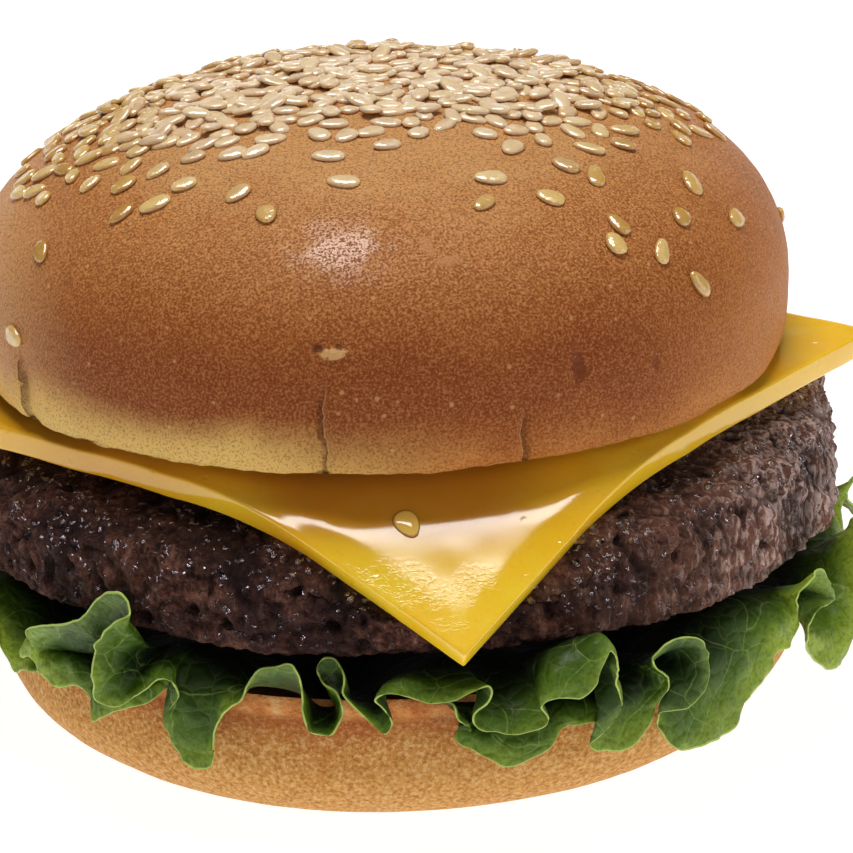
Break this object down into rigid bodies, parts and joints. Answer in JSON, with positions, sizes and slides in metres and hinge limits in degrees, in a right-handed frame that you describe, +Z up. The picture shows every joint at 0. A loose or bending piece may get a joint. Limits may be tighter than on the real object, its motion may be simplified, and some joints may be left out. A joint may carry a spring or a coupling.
{
  "type": "cheeseburger",
  "caption": "Cheeseburger: a seeded bun round a grilled beef patty, a cheese slice bent down over its edge and a ruffled lettuce leaf.",
  "frame": {"origin": "centre of the bottom bun's flat underside", "axes": "+Z up through the stack; -Y towards the front, where the cheese corner hangs down; +X to the right seen from the front"},
  "size_m": [0.1225, 0.1242, 0.0787],
  "materials": {
    "bun_crumb": "baked bread, pale golden side",
    "lettuce": "moist leaf, thin pale rim",
    "patty": "grilled minced beef, greasy glints",
    "cheese": "processed cheese, satin",
    "bun_crust": "baked crust, satin",
    "sesame": "hulled sesame, waxy",
    "moisture": "clear droplet"
  },
  "bodies": {
    "root": {"bottom_bun": "bun_crumb", "lettuce_leaf": "lettuce", "beef_patty": "patty", "cheese_slice": "cheese", "top_bun": "bun_crust"}
  },
  "joints": []
}
